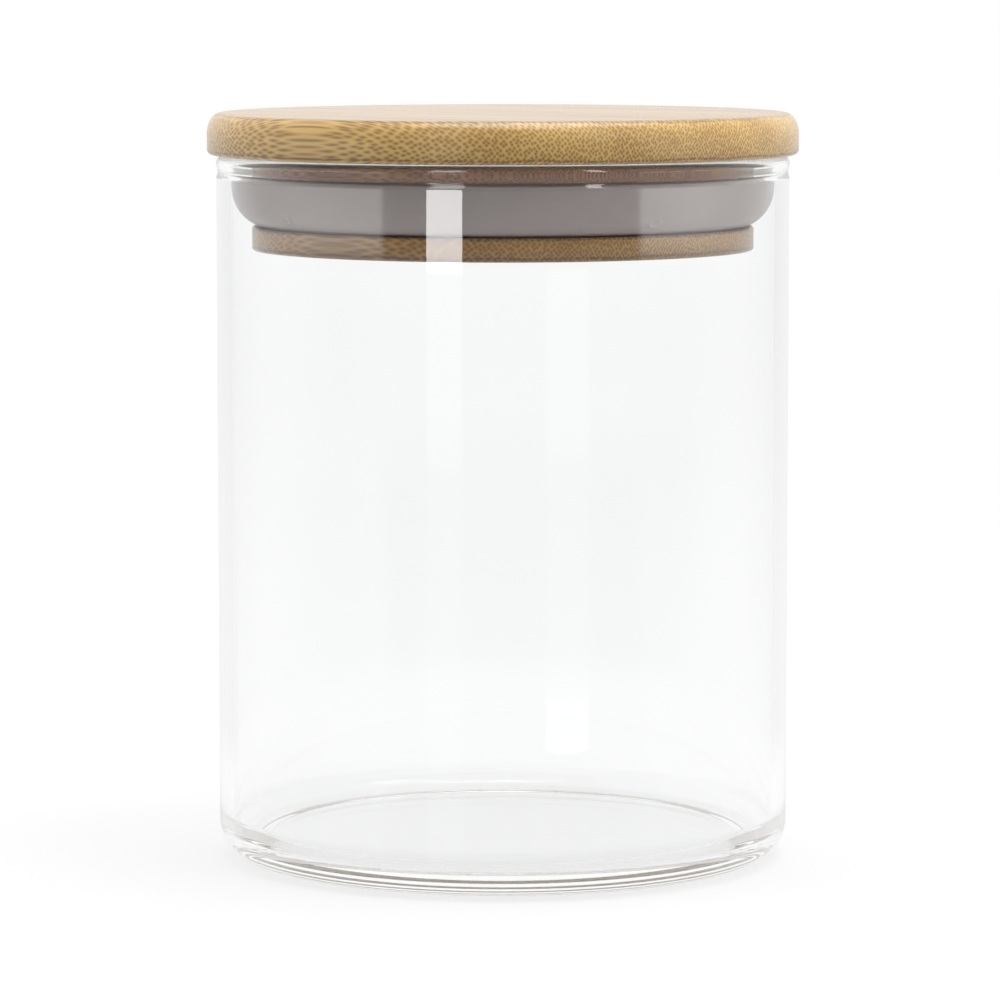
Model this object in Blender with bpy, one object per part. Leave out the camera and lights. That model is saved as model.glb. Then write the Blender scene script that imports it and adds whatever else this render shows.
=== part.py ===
"""Round glass food canister with a push-in bamboo lid and a silicone gasket.

Units are metres and +Z is up. The origin is on the jar's axis, on the surface the foot stands on.
The jar stands still. The lid's pieces hang from the empty "lid_seat", on the axis along which the
lid is pulled out and level with the underside of its cap.
"""
import math

import bmesh
import bpy

# How pieces meet
GAP = 0.0003                # clearance between two pieces that touch
SEGMENTS = 72               # facets around every turned piece
MERGE_DISTANCE = 0.000001   # joins the points where a turned outline reaches the axis
SHARP_ANGLE = math.radians(32.0)

# Glass jar
JAR_RADIUS = 0.0500
JAR_WALL = 0.0025
JAR_HEIGHT = 0.1230
HEEL_RADIUS = 0.0064        # outer round between the foot and the wall
FOOT_WIDTH = 0.0008         # flat ring that the jar stands on
PUNT_SLOPE_WIDTH = 0.0020   # ring over which the underside rises to the punt
PUNT_HEIGHT = 0.0004        # rise of the underside's middle above the foot
FLOOR_HEIGHT = 0.0044       # top of the jar's floor above the foot
INNER_CORNER_RADIUS = 0.0042

# Lid, turned from glued bamboo boards
CAP_RADIUS = 0.0516
CAP_THICKNESS = 0.0072
CAP_TOP_ROUND_WIDTH = 0.0024
CAP_TOP_ROUND_HEIGHT = 0.0036
CAP_LOWER_ROUND = 0.0009
PLUG_RADIUS = 0.0438
NECK_HEIGHT = 0.0034        # full-width part of the plug, above the gasket's groove
GROOVE_RADIUS = 0.0395
GROOVE_HEIGHT = 0.0087
DISC_THICKNESS = 0.0040     # retaining disc that closes the groove from below
DISC_EDGE_BREAK = 0.0002    # small bevel on the disc's edges

# Silicone gasket, a band in the groove with a lip that flares up to the glass
GASKET_BAND = 0.0015
GASKET_LIP = 0.0012
GASKET_TIP_HEIGHT = 0.0007  # straight end of the lip, above its curved part

# Heights measured from the underside of the cap, which is level with the lid_seat empty
SEAT_HEIGHT = JAR_HEIGHT + GAP
PLUG_TOP = -GAP
NECK_BOTTOM = PLUG_TOP - NECK_HEIGHT
DISC_TOP = NECK_BOTTOM - GROOVE_HEIGHT
PLUG_BOTTOM = DISC_TOP + GAP
DISC_BOTTOM = DISC_TOP - DISC_THICKNESS


def clear_scene():
    for item in list(bpy.data.objects):
        bpy.data.objects.remove(item, do_unlink=True)


def arc(centre, radii, start_degrees, end_degrees, steps):
    """Points (radius, height) along an elliptical arc, both ends included."""
    points = []
    for step in range(steps + 1):
        angle = math.radians(start_degrees + (end_degrees - start_degrees) * step / steps)
        radius = centre[0] + radii[0] * math.cos(angle)
        height = centre[1] + radii[1] * math.sin(angle)
        points.append((radius, height))
    return points


def turned_object(name, outline, is_ring, material):
    """One closed body, made by spinning an outline of (radius, height) points about Z."""
    shape = bmesh.new()
    points = [shape.verts.new((radius, 0.0, height)) for radius, height in outline]
    pairs = list(zip(points, points[1:]))
    if is_ring:
        pairs.append((points[-1], points[0]))
    edges = [shape.edges.new(pair) for pair in pairs]
    bmesh.ops.spin(
        shape,
        geom=points + edges,
        cent=(0.0, 0.0, 0.0),
        axis=(0.0, 0.0, 1.0),
        angle=math.tau,
        steps=SEGMENTS,
        use_merge=True,
    )
    bmesh.ops.remove_doubles(shape, verts=shape.verts, dist=MERGE_DISTANCE)
    bmesh.ops.recalc_face_normals(shape, faces=shape.faces)
    mesh = bpy.data.meshes.new(name)
    shape.to_mesh(mesh)
    shape.free()
    mesh.shade_smooth()
    mesh.set_sharp_from_angle(angle=SHARP_ANGLE)
    mesh.materials.append(material)
    made = bpy.data.objects.new(name, mesh)
    bpy.context.collection.objects.link(made)
    return made


def plain_material(name, colour, roughness):
    material = bpy.data.materials.new(name)
    material.use_nodes = True
    shader = material.node_tree.nodes["Principled BSDF"]
    shader.inputs["Base Color"].default_value = (*colour, 1.0)
    shader.inputs["Roughness"].default_value = roughness
    shader.inputs["Metallic"].default_value = 0.0
    return material


def glass_material():
    material = plain_material("clear_glass", (0.97, 0.98, 0.98), 0.02)
    shader = material.node_tree.nodes["Principled BSDF"]
    shader.inputs["Transmission Weight"].default_value = 1.0
    shader.inputs["IOR"].default_value = 1.47
    return material


def make_glass_jar(material):
    """Straight wall on a rounded heel, a flat foot ring round a shallow punt, and a round rim."""
    wall_inside = JAR_RADIUS - JAR_WALL
    foot_outside = JAR_RADIUS - HEEL_RADIUS
    foot_inside = foot_outside - FOOT_WIDTH
    rim_radius = JAR_WALL / 2.0
    rim_centre = (JAR_RADIUS - rim_radius, JAR_HEIGHT - rim_radius)
    corner_centre = (wall_inside - INNER_CORNER_RADIUS, FLOOR_HEIGHT + INNER_CORNER_RADIUS)
    corner_radii = (INNER_CORNER_RADIUS, INNER_CORNER_RADIUS)
    outline = [(0.0, PUNT_HEIGHT), (foot_inside - PUNT_SLOPE_WIDTH, PUNT_HEIGHT), (foot_inside, 0.0)]
    outline += arc((foot_outside, HEEL_RADIUS), (HEEL_RADIUS, HEEL_RADIUS), -90.0, 0.0, 8)
    outline += arc(rim_centre, (rim_radius, rim_radius), 0.0, 180.0, 8)
    outline += arc(corner_centre, corner_radii, 0.0, -90.0, 6)
    outline.append((0.0, FLOOR_HEIGHT))
    return turned_object("glass_jar", outline, False, material)


def make_lid_cap(material):
    """Flat disc that covers the rim, with a broad round on top and a small one below."""
    low_round = CAP_LOWER_ROUND
    low_centre = (CAP_RADIUS - low_round, low_round)
    top_centre = (CAP_RADIUS - CAP_TOP_ROUND_WIDTH, CAP_THICKNESS - CAP_TOP_ROUND_HEIGHT)
    top_radii = (CAP_TOP_ROUND_WIDTH, CAP_TOP_ROUND_HEIGHT)
    outline = [(0.0, 0.0)]
    outline += arc(low_centre, (low_round, low_round), -90.0, 0.0, 3)
    outline += arc(top_centre, top_radii, 0.0, 90.0, 7)
    outline.append((0.0, CAP_THICKNESS))
    return turned_object("lid_cap", outline, False, material)


def make_lid_plug(material):
    """Middle board: a full-width neck above a narrower core, which is the floor of the groove."""
    outline = [
        (0.0, PLUG_BOTTOM),
        (GROOVE_RADIUS, PLUG_BOTTOM),
        (GROOVE_RADIUS, NECK_BOTTOM),
        (PLUG_RADIUS, NECK_BOTTOM),
        (PLUG_RADIUS, PLUG_TOP),
        (0.0, PLUG_TOP),
    ]
    return turned_object("lid_plug", outline, False, material)


def make_lid_retaining_disc(material):
    """Lowest board, which keeps the gasket in its groove."""
    outline = [
        (0.0, DISC_BOTTOM),
        (PLUG_RADIUS - DISC_EDGE_BREAK, DISC_BOTTOM),
        (PLUG_RADIUS, DISC_BOTTOM + DISC_EDGE_BREAK),
        (PLUG_RADIUS, DISC_TOP - DISC_EDGE_BREAK),
        (PLUG_RADIUS - DISC_EDGE_BREAK, DISC_TOP),
        (0.0, DISC_TOP),
    ]
    return turned_object("lid_retaining_disc", outline, False, material)


def make_silicone_gasket(material):
    """Ring with an open channel: a band against the core, and a lip curving up and out."""
    bottom = DISC_TOP + GAP
    top = NECK_BOTTOM - GAP
    band_inside = GROOVE_RADIUS + GAP
    band_outside = band_inside + GASKET_BAND
    lip_outside = JAR_RADIUS - JAR_WALL - GAP
    lip_centre = (band_outside, top - GASKET_TIP_HEIGHT)
    lip_radii = (lip_outside - band_outside, lip_centre[1] - bottom)
    channel_radii = (lip_radii[0] - GASKET_LIP, lip_radii[1] - GASKET_LIP)
    outline = [(band_inside, top), (band_inside, bottom)]
    outline += arc(lip_centre, lip_radii, -90.0, 0.0, 8)
    outline += [(lip_outside, top), (lip_outside - GASKET_LIP, top)]
    outline += arc(lip_centre, channel_radii, 0.0, -90.0, 6)
    outline.append((band_outside, top))
    return turned_object("silicone_gasket", outline, True, material)


def make_lid_seat():
    """Empty on the axis of the lid's travel, level with the underside of the cap."""
    seat = bpy.data.objects.new("lid_seat", None)
    seat.location = (0.0, 0.0, SEAT_HEIGHT)
    bpy.context.collection.objects.link(seat)
    return seat


def main():
    clear_scene()
    make_glass_jar(glass_material())
    seat = make_lid_seat()
    lid_pieces = [
        make_lid_cap(plain_material("cap_bamboo", (0.60, 0.41, 0.19), 0.45)),
        make_lid_plug(plain_material("plug_bamboo", (0.45, 0.29, 0.15), 0.55)),
        make_lid_retaining_disc(plain_material("disc_bamboo", (0.52, 0.36, 0.20), 0.55)),
        make_silicone_gasket(plain_material("frosted_silicone", (0.62, 0.58, 0.55), 0.40)),
    ]
    for piece in lid_pieces:
        piece.parent = seat


main()
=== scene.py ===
import math

import bmesh
import bpy
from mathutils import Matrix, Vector


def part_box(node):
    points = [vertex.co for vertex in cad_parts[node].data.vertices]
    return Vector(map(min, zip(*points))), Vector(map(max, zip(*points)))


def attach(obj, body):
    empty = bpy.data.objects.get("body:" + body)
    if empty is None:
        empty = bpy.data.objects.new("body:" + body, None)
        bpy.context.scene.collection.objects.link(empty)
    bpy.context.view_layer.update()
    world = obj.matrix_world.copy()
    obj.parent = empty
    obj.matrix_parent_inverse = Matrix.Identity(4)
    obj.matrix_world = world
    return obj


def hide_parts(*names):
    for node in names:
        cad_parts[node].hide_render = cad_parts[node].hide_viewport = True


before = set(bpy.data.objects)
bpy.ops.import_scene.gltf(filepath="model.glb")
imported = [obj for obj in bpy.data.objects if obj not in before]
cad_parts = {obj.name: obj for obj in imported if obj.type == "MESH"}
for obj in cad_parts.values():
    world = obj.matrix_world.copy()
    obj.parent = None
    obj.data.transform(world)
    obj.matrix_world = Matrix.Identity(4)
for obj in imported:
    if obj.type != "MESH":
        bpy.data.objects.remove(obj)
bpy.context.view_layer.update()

MM = 0.001

# ---------------------------------------------------------------- sizes read from the frame
jar_low, jar_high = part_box("glass_jar")
cap_low, cap_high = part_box("lid_cap")
plug_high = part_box("lid_plug")[1]
disc_low, disc_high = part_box("lid_retaining_disc")
gasket_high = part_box("silicone_gasket")[1]

JAR_RADIUS = jar_high.x
RIM_TOP = cap_low.z - 0.04 * MM      # the lid rests on the rim
CAP_RADIUS = cap_high.x
PLUG_RADIUS = plug_high.x

# ---------------------------------------------------------------- camera and light
CAMERA_DISTANCE = 0.8757
CAMERA_HEIGHT = 0.1571
CAMERA_LEFT = 0.0005
CAMERA_PITCH = math.radians(6.169)
CAMERA_LENS = 180.24
CAMERA_SENSOR = 36.0
FLOOR_RADIUS = 3.0
FLOOR_GLOW = 0.79            # radiance that the floor adds of its own near the object
FLOOR_FAR_GLOW = 0.86
FLOOR_LIFT = 1.20            # share of that glow that lights the object from below
FLOOR_FRONT_LIFT = 0.10      # the same, away from the object on the camera's side
FLOOR_ALBEDO = 0.16
TOP_LIGHT_WATTS = 9.0
TOP_LIGHT_PLACE = (0.1, -0.05, 1.1)
TOP_LIGHT_AIM = (0.0, 0.0, 0.1)
FRONT_FILL = 0.05            # strengths of the world that matt surfaces see
LEFT_FILL = 2.1
RIGHT_FILL = 2.2
CARD_ROUGH_SHARE = 0.35      # share of a card's glow that rough surfaces reflect
CARD_DISTANCE = 1.2
CARD_BLEND = 0.004           # half height over which a card changes from one strength to the next

# Directions are degrees of turn about Z from the camera's side, positive to the right
RIGHT_SOFTBOX_TURN = (54.0, 58.0)       # where the front gives way to the softbox on the right
LEFT_SOFTBOX_TURN = (46.5, 50.5)        # the same on the left
BEHIND_TURN = (75.0, 115.0)             # where the sides give way to the back

MAX_BOUNCES = 400            # the glass heel guides light through many reflections
MAX_TRANSMISSIONS = 64

# ---------------------------------------------------------------- glass
WALL = 2.5 * MM
HEEL = 6.4 * MM
FOOT_WIDTH = 0.8 * MM
PUNT_SLOPE = 2.0 * MM
PUNT_HEIGHT = 0.4 * MM
FLOOR_HEIGHT = 4.4 * MM
INNER_CORNER = 4.2 * MM
WAIST_DEPTH = 0.22 * MM
WAIST_DROP = 3.0 * MM        # waist below the top of the rim
WAIST_HEIGHT = 1.0 * MM      # from the waist down to the straight wall
BEAD_DROP = 1.45 * MM        # widest part of the rim's bead below the top
BEAD_BULGE = 0.03 * MM       # how far the bead stands out past the wall
WALL_STEPS = 24
CURVE_STEPS = 12
GLASS_IOR = 1.47

BESIDE = 0.1 * MM            # from a change of curve to the point that keeps the shading flat
GLASS_SEGMENTS = 256
WOOD_SEGMENTS = 256

# ---------------------------------------------------------------- lid
CAP_LOWER_ROUND = 0.9 * MM
CAP_TOP_ROUND = (2.4 * MM, 3.6 * MM)    # width, height
CAD_GAP = 0.3 * MM           # gap that the CAD leaves between pieces that touch
GROOVE_RADIUS = 39.5 * MM
PLUG_EDGE = 0.2 * MM
PLUG_PLY = 6.2 * MM          # thickness of each board that the plug is glued up from
DISC_EDGE = 0.25 * MM

# ---------------------------------------------------------------- gasket
BAND_INSIDE = 39.6 * MM
BAND_OUTSIDE = 41.3 * MM
LIP = 1.2 * MM
LIP_TIP_ROUND = 0.35 * MM
LIP_TIP_HEIGHT = 0.8 * MM    # straight end of the lip, above its curved part
LIP_CLEARANCE = 0.08 * MM
MARK_HEIGHT = 0.25 * MM
MARK_RISE = 2.3 * MM         # middle of the mould marks above the gasket's lower edge
MOULD_MARKS = ((33.0, 1.0 * MM), (-51.5, 1.0 * MM), (-22.0, 0.3 * MM))    # turn about Z, size

# ---------------------------------------------------------------- bamboo
GRAIN_ANGLE = math.radians(-40.0)    # plan direction of the fibres, from +X
BUNDLE_SPACING = 0.46 * MM    # between neighbouring bundles, which stand in leaning rows
BUNDLE_LEAN = math.radians(52.0)
ROW_SQUEEZE = 0.65
SKIN_ROW = 1.05 * MM          # height of the dense row above the board's skin side
STRIP_WIDTH = 20.0 * MM
STRIP_OFFSET = 0.37           # how far a strip's own value moves its bundles, in metres
WANDER = 0.9 * MM             # how far the fibres stray from straight
WANDER_SCALE = (18.0, 160.0, 160.0)      # along, across and up, in cycles per metre
FIBRE_SCALE = (30.0, 5200.0, 5200.0)
CLOUD_SCALE = (22.0, 90.0, 130.0)
GOLD = (0.720, 0.465, 0.150)
WARM = (0.540, 0.315, 0.086)
DARK = (0.160, 0.080, 0.022)                             # these three are the cap's own colours
CAP_SEED, CAP_TINT = 0.0, (1.0, 1.0, 1.0)                # a seed moves the strips and their tones
# The plug's and the disc's tints darken the cap's bamboo: painted shade for the pieces that sit
# under the cap, inside the jar.
PLUG_SEED, PLUG_SHADE_TINT = 7.3 * MM, (0.82, 0.55, 0.44)
DISC_SEED, DISC_SHADE_TINT = 3.9 * MM, (0.86, 0.76, 0.70)


# ================================================================ mesh building
def arc(centre, radii, start_degrees, end_degrees, steps):
    """Points (radius, height) along an elliptical arc, both ends included."""
    points = []
    for step in range(steps + 1):
        angle = math.radians(start_degrees + (end_degrees - start_degrees) * step / steps)
        radius = centre[0] + radii[0] * math.cos(angle)
        height = centre[1] + radii[1] * math.sin(angle)
        points.append((radius, height))
    return points


def smooth_run(start, end, steps):
    """Points from start to end, eased at both ends. The end points themselves are left out."""
    points = []
    for step in range(1, steps):
        share = step / steps
        eased = share * share * (3.0 - 2.0 * share)
        radius = start[0] + (end[0] - start[0]) * eased
        height = start[1] + (end[1] - start[1]) * share
        points.append((radius, height))
    return points


def turned(name, outline, is_ring, segments, sharp_degrees):
    """A closed body made by spinning an outline of (radius, height) points about Z."""
    shape = bmesh.new()
    points = [shape.verts.new((radius, 0.0, height)) for radius, height in outline]
    pairs = list(zip(points, points[1:]))
    if is_ring:
        pairs.append((points[-1], points[0]))
    edges = [shape.edges.new(pair) for pair in pairs]
    bmesh.ops.spin(shape, geom=points + edges, cent=(0, 0, 0), axis=(0, 0, 1), angle=math.tau,
                   steps=segments, use_merge=True)
    bmesh.ops.remove_doubles(shape, verts=shape.verts, dist=0.001 * MM)
    bmesh.ops.recalc_face_normals(shape, faces=shape.faces)
    mesh = bpy.data.meshes.new(name)
    shape.to_mesh(mesh)
    shape.free()
    mesh.shade_smooth()
    mesh.set_sharp_from_angle(angle=math.radians(sharp_degrees))
    piece = bpy.data.objects.new(name, mesh)
    bpy.context.scene.collection.objects.link(piece)
    return piece


def jar_outline():
    """Half section of the jar, from the middle of its underside round the rim to its inner floor.

    A point close beside each change of curve keeps the straight stretches flat when shaded.
    """
    inside = JAR_RADIUS - WALL
    foot_outside = JAR_RADIUS - HEEL
    foot_inside = foot_outside - FOOT_WIDTH
    punt_edge = foot_inside - PUNT_SLOPE
    outline = [
        (0.0, PUNT_HEIGHT),
        (punt_edge * 0.5, PUNT_HEIGHT),
        (punt_edge - BESIDE, PUNT_HEIGHT),
        (punt_edge, PUNT_HEIGHT),
    ]
    outline += smooth_run((punt_edge, PUNT_HEIGHT), (foot_inside, 0.0), CURVE_STEPS)
    outline += [(foot_inside, 0.0), (foot_inside + BESIDE, 0.0), (foot_outside - BESIDE, 0.0)]
    outline += arc((foot_outside, HEEL), (HEEL, HEEL), -90.0, 0.0, 48)
    wall_top = RIM_TOP - WAIST_DROP - WAIST_HEIGHT
    outline.append((JAR_RADIUS, HEEL + BESIDE))
    for step in range(1, WALL_STEPS):
        outline.append((JAR_RADIUS, HEEL + (wall_top - HEEL) * step / WALL_STEPS))
    waist = (JAR_RADIUS - WAIST_DEPTH, RIM_TOP - WAIST_DROP)
    bead = (JAR_RADIUS + BEAD_BULGE, RIM_TOP - BEAD_DROP)
    outline += [(JAR_RADIUS, wall_top - BESIDE), (JAR_RADIUS, wall_top)]
    outline += smooth_run((JAR_RADIUS, wall_top), waist, CURVE_STEPS)
    outline.append(waist)
    outline += smooth_run(waist, bead, CURVE_STEPS)
    half_width = (bead[0] - inside) / 2.0
    outline += arc((bead[0] - half_width, bead[1]), (half_width, BEAD_DROP), 0.0, 180.0, 48)
    outline.append((inside, bead[1] - BESIDE))
    corner = (inside - INNER_CORNER, FLOOR_HEIGHT + INNER_CORNER)
    for step in range(1, WALL_STEPS):
        outline.append((inside, bead[1] + (corner[1] - bead[1]) * step / WALL_STEPS))
    outline.append((inside, corner[1] + BESIDE))
    outline += arc(corner, (INNER_CORNER, INNER_CORNER), 0.0, -90.0, 40)
    outline += [
        (corner[0] - BESIDE, FLOOR_HEIGHT),
        (corner[0] * 0.5, FLOOR_HEIGHT),
        (0.0, FLOOR_HEIGHT),
    ]
    return outline


def make_jar():
    piece = turned("jar_glass", jar_outline(), False, GLASS_SEGMENTS, 60.0)
    piece.data.materials.append(glass_material())
    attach(piece, "jar")
    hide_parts("glass_jar")


def make_cap():
    bottom, top = cap_low.z, cap_high.z
    low = CAP_LOWER_ROUND
    wide, tall = CAP_TOP_ROUND
    outline = [(0.0, bottom), (CAP_RADIUS * 0.5, bottom)]
    outline += arc((CAP_RADIUS - low, bottom + low), (low, low), -90.0, 0.0, 8)
    outline += arc((CAP_RADIUS - wide, top - tall), (wide, tall), 0.0, 90.0, 20)
    outline += [(CAP_RADIUS * 0.5, top), (0.0, top)]
    piece = turned("cap_wood", outline, False, WOOD_SEGMENTS, 40.0)
    wood = bamboo_material("bamboo_cap", bottom, top - bottom, CAP_SEED, CAP_TINT)
    piece.data.materials.append(wood)
    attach(piece, "lid")
    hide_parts("lid_cap")


def make_plug():
    bottom, top = disc_high.z, cap_low.z
    neck = gasket_high.z + CAD_GAP
    outline = [
        (0.0, bottom),
        (GROOVE_RADIUS, bottom),
        (GROOVE_RADIUS, neck),
        (PLUG_RADIUS - PLUG_EDGE, neck),
        (PLUG_RADIUS, neck + PLUG_EDGE),
        (PLUG_RADIUS, top),
        (0.0, top),
    ]
    piece = turned("plug_wood", outline, False, WOOD_SEGMENTS, 30.0)
    # the plug's tint paints shade into its bamboo, as it sits under the cap
    wood = bamboo_material("bamboo_plug", bottom, PLUG_PLY, PLUG_SEED, PLUG_SHADE_TINT)
    piece.data.materials.append(wood)
    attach(piece, "lid")
    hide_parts("lid_plug")


def make_disc():
    bottom, top = disc_low.z, disc_high.z
    outline = [
        (0.0, bottom),
        (PLUG_RADIUS * 0.5, bottom),
        (PLUG_RADIUS - DISC_EDGE, bottom),
        (PLUG_RADIUS, bottom + DISC_EDGE),
        (PLUG_RADIUS, top - DISC_EDGE),
        (PLUG_RADIUS - DISC_EDGE, top),
        (0.0, top),
    ]
    piece = turned("disc_wood", outline, False, WOOD_SEGMENTS, 30.0)
    wood = bamboo_material("bamboo_disc", bottom, top - bottom, DISC_SEED, DISC_SHADE_TINT)
    # the disc's tint paints shade into its bamboo, as it sits under the cap
    piece.data.materials.append(wood)
    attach(piece, "lid")
    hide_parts("lid_retaining_disc")


def add_mould_mark(piece, turn_degrees, height, reach):
    """Raises a small curved ridge, open at the top, on the outside of a turned piece."""
    turn = math.radians(turn_degrees)
    shape = bmesh.new()
    shape.from_mesh(piece.data)
    radius = max(vert.co.xy.length for vert in shape.verts if abs(vert.co.z - height) < 0.3 * MM)
    centre = Vector((radius * math.sin(turn), -radius * math.cos(turn), height))
    near = []
    for edge in shape.edges:
        if all((vert.co - centre).length < 2.2 * reach for vert in edge.verts):
            near.append(edge)
    bmesh.ops.subdivide_edges(shape, edges=near, cuts=3, use_grid_fill=True)
    shape.normal_update()
    for vert in shape.verts:
        offset = vert.co - centre
        ridge = math.exp(-((offset.length - reach) / (0.3 * reach)) ** 2)
        ridge *= min(1.0, max(0.0, 1.0 - 1.5 * offset.z / reach))
        vert.co += vert.normal * (MARK_HEIGHT * ridge)
    shape.to_mesh(piece.data)
    shape.free()


def make_gasket():
    bottom, top = disc_high.z + 0.05 * MM, gasket_high.z
    lip_outside = JAR_RADIUS - WALL - LIP_CLEARANCE
    tip = LIP_TIP_ROUND
    centre = (BAND_OUTSIDE, top - LIP_TIP_HEIGHT)
    radii = (lip_outside - BAND_OUTSIDE, centre[1] - bottom)
    outline = [(BAND_INSIDE, top), (BAND_INSIDE, bottom)]
    outline += arc(centre, radii, -90.0, 0.0, 40)
    outline += arc((lip_outside - tip, top - tip), (tip, tip), 0.0, 90.0, 6)
    outline += arc((lip_outside - LIP + tip, top - tip), (tip, tip), 90.0, 180.0, 6)
    outline += arc(centre, (radii[0] - LIP, radii[1] - LIP), 0.0, -90.0, 24)
    outline.append((BAND_OUTSIDE, top))
    piece = turned("gasket_silicone", outline, True, WOOD_SEGMENTS, 40.0)
    piece.data.materials.append(silicone_material())
    for turn_degrees, reach in MOULD_MARKS:
        add_mould_mark(piece, turn_degrees, bottom + MARK_RISE, reach)
    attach(piece, "lid")
    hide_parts("silicone_gasket")


# ================================================================ node helpers
def new_material(name):
    material = bpy.data.materials.new(name)
    material.use_nodes = True
    tree = material.node_tree
    return material, tree, tree.nodes["Principled BSDF"]


def put(tree, socket, value):
    """Links a socket, or sets a plain value."""
    if isinstance(value, bpy.types.NodeSocket):
        tree.links.new(value, socket)
    else:
        socket.default_value = value


def calc(tree, operation, first, second=0.0, third=0.0):
    node = tree.nodes.new("ShaderNodeMath")
    node.operation = operation
    put(tree, node.inputs[0], first)
    put(tree, node.inputs[1], second)
    put(tree, node.inputs[2], third)
    return node.outputs[0]


def ease(tree, value, low, high, to_low=0.0, to_high=1.0, kind="SMOOTHSTEP"):
    """Maps value from low..high to to_low..to_high, held at both ends."""
    node = tree.nodes.new("ShaderNodeMapRange")
    node.interpolation_type = kind
    put(tree, node.inputs["Value"], value)
    put(tree, node.inputs["From Min"], low)
    put(tree, node.inputs["From Max"], high)
    put(tree, node.inputs["To Min"], to_low)
    put(tree, node.inputs["To Max"], to_high)
    return node.outputs["Result"]


def blend_colours(tree, share, first, second, mode="MIX"):
    node = tree.nodes.new("ShaderNodeMix")
    node.data_type = "RGBA"
    node.blend_type = mode
    put(tree, node.inputs["Factor"], share)
    put(tree, node.inputs[6], first)
    put(tree, node.inputs[7], second)
    return node.outputs[2]


def mix_values(tree, share, first, second):
    node = tree.nodes.new("ShaderNodeMix")
    put(tree, node.inputs[0], share)
    put(tree, node.inputs[2], first)
    put(tree, node.inputs[3], second)
    return node.outputs[0]


def mapped(tree, vector, scale=(1, 1, 1), rotation=(0, 0, 0)):
    node = tree.nodes.new("ShaderNodeMapping")
    put(tree, node.inputs["Vector"], vector)
    node.inputs["Scale"].default_value = scale
    node.inputs["Rotation"].default_value = rotation
    return node.outputs["Vector"]


def noise(tree, vector, scale, detail=3.0, roughness=0.5):
    node = tree.nodes.new("ShaderNodeTexNoise")
    put(tree, node.inputs["Vector"], vector)
    node.inputs["Scale"].default_value = scale
    node.inputs["Detail"].default_value = detail
    node.inputs["Roughness"].default_value = roughness
    return node.outputs["Fac"]


def bump(tree, height, strength, distance):
    node = tree.nodes.new("ShaderNodeBump")
    put(tree, node.inputs["Height"], height)
    node.inputs["Strength"].default_value = strength
    node.inputs["Distance"].default_value = distance
    return node.outputs["Normal"]


def object_place(tree):
    return tree.nodes.new("ShaderNodeTexCoord").outputs["Object"]


def axes(tree, vector):
    split = tree.nodes.new("ShaderNodeSeparateXYZ")
    put(tree, split.inputs[0], vector)
    return split.outputs


def shade_grey(tree, value):
    node = tree.nodes.new("ShaderNodeCombineColor")
    for socket in node.inputs:
        put(tree, socket, value)
    return node.outputs[0]


def turn_from_camera(tree, east, north):
    """Degrees about Z from the camera's side, positive to the right."""
    south = calc(tree, "MULTIPLY", north, -1.0)
    return calc(tree, "DEGREES", calc(tree, "ARCTAN2", east, south))


def seen_in_one_reflection(tree, path):
    return calc(tree, "COMPARE", path.outputs["Glossy Depth"], 1.0, 0.5)


# ================================================================ materials
def glass_material():
    material, tree, shader = new_material("jar_clear_glass")
    place = object_place(tree)
    shader.inputs["Base Color"].default_value = (0.976, 0.981, 0.979, 1.0)
    shader.inputs["Transmission Weight"].default_value = 1.0
    shader.inputs["IOR"].default_value = GLASS_IOR
    shader.inputs["Roughness"].default_value = 0.0
    drawn = noise(tree, mapped(tree, place, (90.0, 90.0, 12.0)), 1.0, 2.0)
    put(tree, shader.inputs["Normal"], bump(tree, drawn, 0.02, 0.1 * MM))
    return material


def wandering(tree, place):
    """The place, shifted a little across the grain, so that the fibres aren't quite straight."""
    drift = tree.nodes.new("ShaderNodeTexNoise")
    put(tree, drift.inputs["Vector"], mapped(tree, place, WANDER_SCALE))
    drift.inputs["Scale"].default_value = 1.0
    drift.inputs["Detail"].default_value = 1.0
    shift = tree.nodes.new("ShaderNodeVectorMath")
    shift.operation = "MULTIPLY_ADD"
    put(tree, shift.inputs[0], drift.outputs["Color"])
    shift.inputs[1].default_value = (0.0, WANDER, WANDER)
    put(tree, shift.inputs[2], place)
    return shift.outputs[0]


def strip_value(tree, across, seed):
    """A value of its own for each strip of bamboo. Strips lie side by side across the grain."""
    strip = calc(tree, "DIVIDE", calc(tree, "ADD", across, seed), STRIP_WIDTH)
    strip = calc(tree, "FLOOR", strip)
    node = tree.nodes.new("ShaderNodeTexWhiteNoise")
    node.noise_dimensions = "1D"
    put(tree, node.inputs["W"], calc(tree, "ADD", strip, seed * 1000.0))
    return node.outputs["Value"]


def bundle_distance(tree, across, height, own_value):
    """Distance from the nearest fibre bundle, in bundle spacings."""
    joined = tree.nodes.new("ShaderNodeCombineXYZ")
    moved_across = calc(tree, "ADD", across, calc(tree, "MULTIPLY", own_value, STRIP_OFFSET))
    put(tree, joined.inputs[0], moved_across)
    put(tree, joined.inputs[1], calc(tree, "MULTIPLY", height, ROW_SQUEEZE))
    dots = tree.nodes.new("ShaderNodeTexVoronoi")
    dots.voronoi_dimensions = "2D"
    dots.feature = "F1"
    put(tree, dots.inputs["Vector"], mapped(tree, joined.outputs[0], rotation=(0, 0, BUNDLE_LEAN)))
    dots.inputs["Scale"].default_value = 1.0 / BUNDLE_SPACING
    dots.inputs["Randomness"].default_value = 0.50
    return dots.outputs["Distance"]


def tinted(colour, shade_tint):
    return (colour[0] * shade_tint[0], colour[1] * shade_tint[1], colour[2] * shade_tint[2], 1.0)


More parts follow.
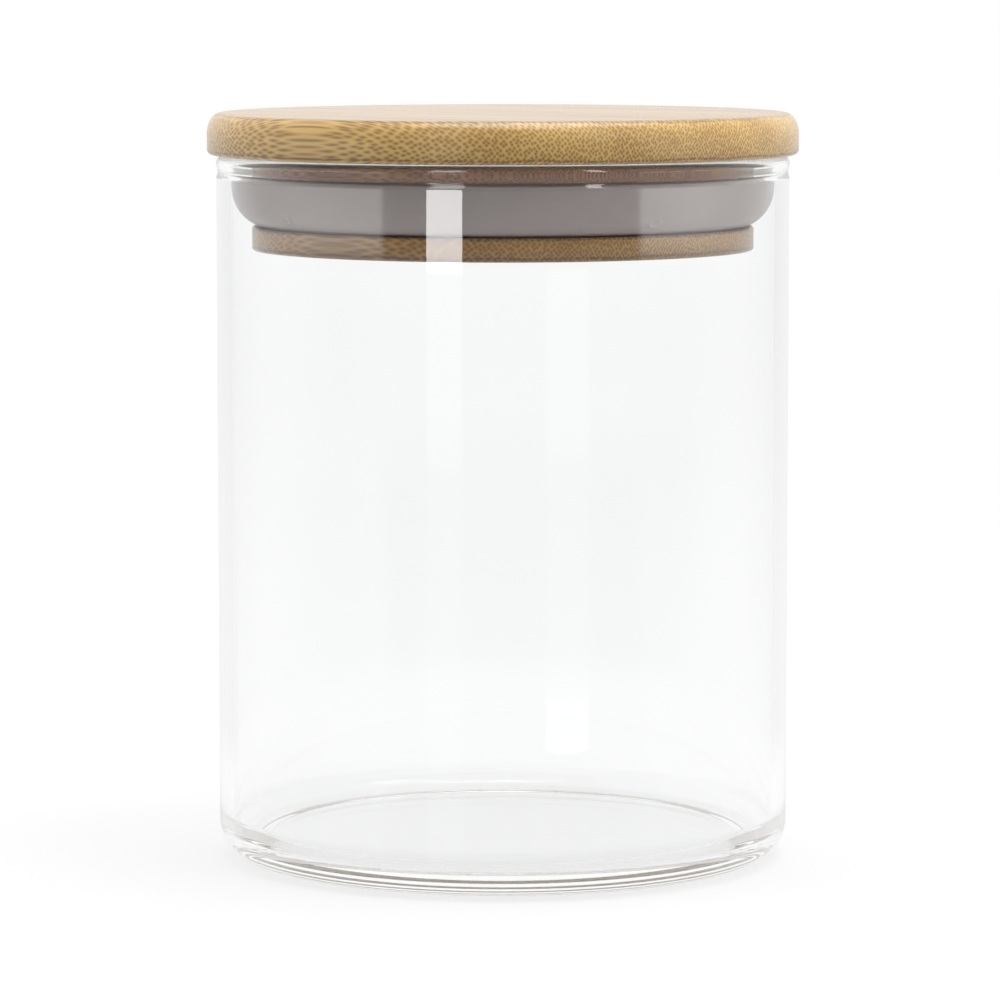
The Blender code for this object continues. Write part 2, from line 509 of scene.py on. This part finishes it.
def bamboo_material(name, skin_height, ply, seed, shade_tint):
    """Bamboo board: fibre bundles run along the grain, darkest near the culm's skin.

    skin_height is the height of the board's skin side, and ply is the board's thickness. The
    pattern starts again above each ply.
    """
    material, tree, shader = new_material(name)
    place = mapped(tree, object_place(tree), rotation=(0, 0, -GRAIN_ANGLE))
    moved = wandering(tree, place)
    split = axes(tree, moved)
    across, height = split[1], split[2]
    own_value = strip_value(tree, across, seed)

    # depth is 0 at the skin side of the board and 1 at the soft inner side
    depth = calc(tree, "DIVIDE", calc(tree, "SUBTRACT", height, skin_height), ply)
    depth = calc(tree, "FRACT", depth)
    away = bundle_distance(tree, across, height, own_value)
    bundle = ease(tree, away, 0.02, 0.60, 1.0, 0.0)
    sheath = ease(tree, away, 0.44, 0.64, 0.0, 1.0)

    # one dense row of dark bundles marks the skin side of the board
    off_row = calc(tree, "ABSOLUTE", calc(tree, "SUBTRACT", height, skin_height + SKIN_ROW))
    row = ease(tree, off_row, 0.12 * MM, 0.34 * MM, 1.0, 0.0)
    row = calc(tree, "MULTIPLY", row, ease(tree, away, 0.30, 0.62, 1.0, 0.35))
    fading = ease(tree, depth, 0.0, 1.0, 0.86, 0.62, "LINEAR")
    dark_share = calc(tree, "MULTIPLY", bundle, fading)
    dark_share = calc(tree, "MAXIMUM", dark_share, calc(tree, "MULTIPLY", row, 0.85))

    fibre = noise(tree, mapped(tree, moved, FIBRE_SCALE), 1.0, 2.0, 0.6)
    cloud = noise(tree, mapped(tree, place, CLOUD_SCALE), 1.0, 3.0, 0.55)
    # the tint darkens all three colours: on the plug and the disc it is painted shade
    gold, warm, dark = tinted(GOLD, shade_tint), tinted(WARM, shade_tint), tinted(DARK, shade_tint)
    ground = blend_colours(tree, ease(tree, cloud, 0.3, 0.7), gold, warm)
    ground = blend_colours(tree, ease(tree, fibre, 0.35, 0.75, 0.0, 0.40), ground, warm)
    ground = blend_colours(tree, ease(tree, own_value, 0.0, 1.0, 0.0, 0.28), ground, warm)
    ground = blend_colours(tree, calc(tree, "MULTIPLY", sheath, 0.5), ground, gold)
    colour = blend_colours(tree, dark_share, ground, dark)
    shade = ease(tree, depth, 0.0, 0.75, 0.72, 1.0)
    colour = blend_colours(tree, 1.0, colour, shade_grey(tree, shade), "MULTIPLY")
    put(tree, shader.inputs["Base Color"], colour)

    fibre_rough = ease(tree, fibre, 0.3, 0.7, 0.38, 0.50)
    rough = calc(tree, "ADD", calc(tree, "MULTIPLY", bundle, 0.10), fibre_rough)
    put(tree, shader.inputs["Roughness"], rough)
    shader.inputs["Specular IOR Level"].default_value = 0.15
    shader.inputs["Coat Weight"].default_value = 1.0
    shader.inputs["Coat Roughness"].default_value = 0.26
    relief = calc(tree, "SUBTRACT", calc(tree, "MULTIPLY", fibre, 0.4), bundle)
    put(tree, shader.inputs["Normal"], bump(tree, relief, 0.35, 0.04 * MM))
    return material


def silicone_material():
    material, tree, shader = new_material("silicone_frosted")
    place = object_place(tree)
    cloud = noise(tree, place, 60.0, 3.0)
    grain = noise(tree, place, 2600.0, 2.0)
    colour = blend_colours(tree, cloud, (0.49, 0.435, 0.425, 1.0), (0.57, 0.51, 0.495, 1.0))
    put(tree, shader.inputs["Base Color"], colour)
    put(tree, shader.inputs["Roughness"], ease(tree, grain, 0.3, 0.7, 0.34, 0.48))
    shader.inputs["Subsurface Weight"].default_value = 0.6
    shader.inputs["Subsurface Radius"].default_value = (1.0, 0.9, 0.8)
    shader.inputs["Subsurface Scale"].default_value = 2.0 * MM
    shader.inputs["IOR"].default_value = 1.41
    put(tree, shader.inputs["Normal"], bump(tree, grain, 0.15, 0.03 * MM))
    return material


# ================================================================ stage
def make_floor():
    """White round floor. It glows, so that it stays white out to where the world takes over."""
    mesh = bpy.data.meshes.new("floor")
    shape = bmesh.new()
    bmesh.ops.create_circle(shape, cap_ends=True, radius=FLOOR_RADIUS, segments=96)
    shape.to_mesh(mesh)
    shape.free()
    floor = bpy.data.objects.new("floor", mesh)
    floor.location.z = jar_low.z - 0.1 * MM
    bpy.context.scene.collection.objects.link(floor)
    material = bpy.data.materials.new("floor_white")
    material.use_nodes = True
    tree = material.node_tree
    tree.nodes.remove(tree.nodes["Principled BSDF"])
    place = object_place(tree)
    split = axes(tree, place)
    turn = turn_from_camera(tree, split[0], split[1])
    either_side = calc(tree, "ABSOLUTE", turn)
    length = tree.nodes.new("ShaderNodeVectorMath")
    length.operation = "LENGTH"
    put(tree, length.inputs[0], place)
    distance = length.outputs["Value"]
    plain = ease(tree, distance, 0.3, 2.2, FLOOR_GLOW, FLOOR_FAR_GLOW)

    # a single reflection sees a dimmer floor, except close round the object
    front = ease(tree, distance, 0.60, 0.82, 0.24, 0.52)
    front = mix_values(tree, ease(tree, distance, 1.7, 2.0), front, 0.02)
    front = mix_values(tree, ease(tree, turn, *RIGHT_SOFTBOX_TURN), front, 0.42)
    behind = ease(tree, either_side, *BEHIND_TURN)
    dimmed = mix_values(tree, behind, front, 0.66)
    dimmed = mix_values(tree, ease(tree, distance, 0.10, 0.18), plain, dimmed)
    path = tree.nodes.new("ShaderNodeLightPath")
    glow_level = mix_values(tree, seen_in_one_reflection(tree, path), plain, dimmed)

    # matt surfaces see less of the floor on the camera's side
    beside = ease(tree, either_side, 45.0, 80.0)
    lift = mix_values(tree, beside, FLOOR_FRONT_LIFT, FLOOR_LIFT)
    lift = mix_values(tree, ease(tree, distance, 0.12, 0.40), FLOOR_LIFT, lift)
    lit = mix_values(tree, path.outputs["Is Diffuse Ray"], 1.0, lift)
    glow = tree.nodes.new("ShaderNodeEmission")
    put(tree, glow.inputs["Strength"], calc(tree, "MULTIPLY", glow_level, lit))
    matt = tree.nodes.new("ShaderNodeBsdfDiffuse")
    matt.inputs["Color"].default_value = (FLOOR_ALBEDO, FLOOR_ALBEDO, FLOOR_ALBEDO, 1.0)
    both = tree.nodes.new("ShaderNodeAddShader")
    put(tree, both.inputs[0], glow.outputs[0])
    put(tree, both.inputs[1], matt.outputs[0])
    put(tree, tree.nodes["Material Output"].inputs["Surface"], both.outputs[0])
    material.cycles.emission_sampling = "NONE"
    mesh.materials.append(material)
    floor.visible_glossy = False


def make_world():
    """A white sweep round the object.

    A single reflection also sees softboxes at the sides and a dim studio in front. Matt surfaces
    see the strengths in soft.
    """
    world = bpy.data.worlds.new("studio")
    bpy.context.scene.world = world
    world.use_nodes = True
    tree = world.node_tree
    background = tree.nodes["Background"]
    direction = tree.nodes.new("ShaderNodeTexCoord").outputs["Generated"]
    east, north, up = axes(tree, direction)
    turn = turn_from_camera(tree, east, north)
    rise = calc(tree, "DEGREES", calc(tree, "ARCSINE", up))
    right = ease(tree, turn, *RIGHT_SOFTBOX_TURN)
    left = ease(tree, calc(tree, "MULTIPLY", turn, -1.0), *LEFT_SOFTBOX_TURN)
    side = calc(tree, "MAXIMUM", right, left)
    behind = ease(tree, calc(tree, "ABSOLUTE", turn), *BEHIND_TURN)

    # what one reflection sees, by degrees of rise: the bench's far edge is at -3.5 to -3.2
    bench = ease(tree, rise, -5.9, -5.5, -0.11, 0.0)
    front_level = calc(tree, "ADD", ease(tree, rise, -3.5, -3.2, 0.69, 0.15), bench)
    side_level = ease(tree, rise, -3.5, -3.2, 0.76, 3.0)
    level = mix_values(tree, side, front_level, side_level)
    level = mix_values(tree, ease(tree, rise, -1.2, 1.0), level, 0.8)
    level = mix_values(tree, ease(tree, rise, -30.0, -11.0, 1.0, 0.0), level, 1.0)
    level = mix_values(tree, behind, level, ease(tree, rise, -1.0, 1.0, 0.88, 1.0))

    # what matt surfaces see: a dark front between bright sides
    soft = mix_values(tree, ease(tree, turn, -70.0, -56.0, 1.0, 0.0), FRONT_FILL, LEFT_FILL)
    soft = mix_values(tree, ease(tree, turn, 32.0, 44.0), soft, RIGHT_FILL)
    soft = mix_values(tree, behind, soft, 1.0)

    path = tree.nodes.new("ShaderNodeLightPath")
    reflected = mix_values(tree, seen_in_one_reflection(tree, path), 1.0, level)
    matt = calc(tree, "GREATER_THAN", path.outputs["Diffuse Depth"], 0.5)
    seen = mix_values(tree, matt, reflected, soft)
    background.inputs["Color"].default_value = (1.0, 1.0, 1.0, 1.0)
    put(tree, background.inputs["Strength"], seen)


def make_top_light():
    data = bpy.data.lights.new("top_softbox", "AREA")
    data.shape = "RECTANGLE"
    data.size = 1.0
    data.size_y = 0.8
    data.energy = TOP_LIGHT_WATTS
    light = bpy.data.objects.new("top_softbox", data)
    light.location = TOP_LIGHT_PLACE
    aim = Vector(TOP_LIGHT_AIM) - light.location
    light.rotation_euler = aim.to_track_quat("-Z", "Y").to_euler()
    light.visible_camera = False
    bpy.context.scene.collection.objects.link(light)


def make_card(name, turn_degrees, width_degrees, low, high, base, steps):
    """An upright glowing card, seen only in reflections, and dimmer in rough ones.

    The glow is base at the bottom, and changes to a new strength at each (height, strength) step.
    """
    half = CARD_DISTANCE * math.tan(math.radians(width_degrees / 2.0))
    corners = [(-half, 0, low), (half, 0, low), (half, 0, high), (-half, 0, high)]
    mesh = bpy.data.meshes.new(name)
    mesh.from_pydata(corners, [], [(0, 1, 2, 3)])
    card = bpy.data.objects.new(name, mesh)
    turn = math.radians(turn_degrees)
    card.location = (CARD_DISTANCE * math.sin(turn), -CARD_DISTANCE * math.cos(turn), 0.0)
    card.rotation_euler = (0, 0, turn)
    bpy.context.scene.collection.objects.link(card)
    material = bpy.data.materials.new(name)
    material.use_nodes = True
    tree = material.node_tree
    tree.nodes.remove(tree.nodes["Principled BSDF"])
    glow = tree.nodes.new("ShaderNodeEmission")
    up = axes(tree, object_place(tree))[2]
    level = base
    for height, strength in steps:
        above = ease(tree, up, height - CARD_BLEND, height + CARD_BLEND)
        level = mix_values(tree, above, level, strength)
    path = tree.nodes.new("ShaderNodeLightPath")
    share = mix_values(tree, path.outputs["Is Singular Ray"], CARD_ROUGH_SHARE, 1.0)
    put(tree, glow.inputs["Strength"], calc(tree, "MULTIPLY", level, share))
    put(tree, tree.nodes["Material Output"].inputs["Surface"], glow.outputs[0])
    mesh.materials.append(material)
    card.visible_camera = False
    card.visible_transmission = False
    card.visible_diffuse = False
    card.visible_shadow = False


def make_camera():
    data = bpy.data.cameras.new("camera")
    data.lens = CAMERA_LENS
    data.sensor_width = CAMERA_SENSOR
    data.clip_start = 0.01
    data.clip_end = 100.0
    camera = bpy.data.objects.new("camera", data)
    camera.location = (-CAMERA_LEFT, -CAMERA_DISTANCE, CAMERA_HEIGHT)
    camera.rotation_euler = (math.pi / 2.0 - CAMERA_PITCH, 0.0, 0.0)
    bpy.context.scene.collection.objects.link(camera)
    bpy.context.scene.camera = camera


make_camera()
make_world()
make_floor()
make_top_light()
make_card("left_strip", -22.6, 14.0, -0.30, 0.10, 0.9, ((-0.044, 1.4), (0.036, 14.0)))
make_card("right_strip", 25.0, 17.0, -0.159, 0.035, 1.6, ((-0.137, 0.9), (-0.040, 1.3)))
make_card("right_window", 38.0, 6.8, 0.45, 1.1, 9.0, ())
make_card("left_window", -22.6, 14.0, 0.45, 1.1, 7.0, ())

scene = bpy.context.scene
scene.cycles.max_bounces = MAX_BOUNCES
scene.cycles.glossy_bounces = MAX_BOUNCES
scene.cycles.transmission_bounces = MAX_TRANSMISSIONS
scene.view_settings.view_transform = "Standard"
scene.view_settings.look = "None"

make_jar()
make_cap()
make_plug()
make_disc()
make_gasket()
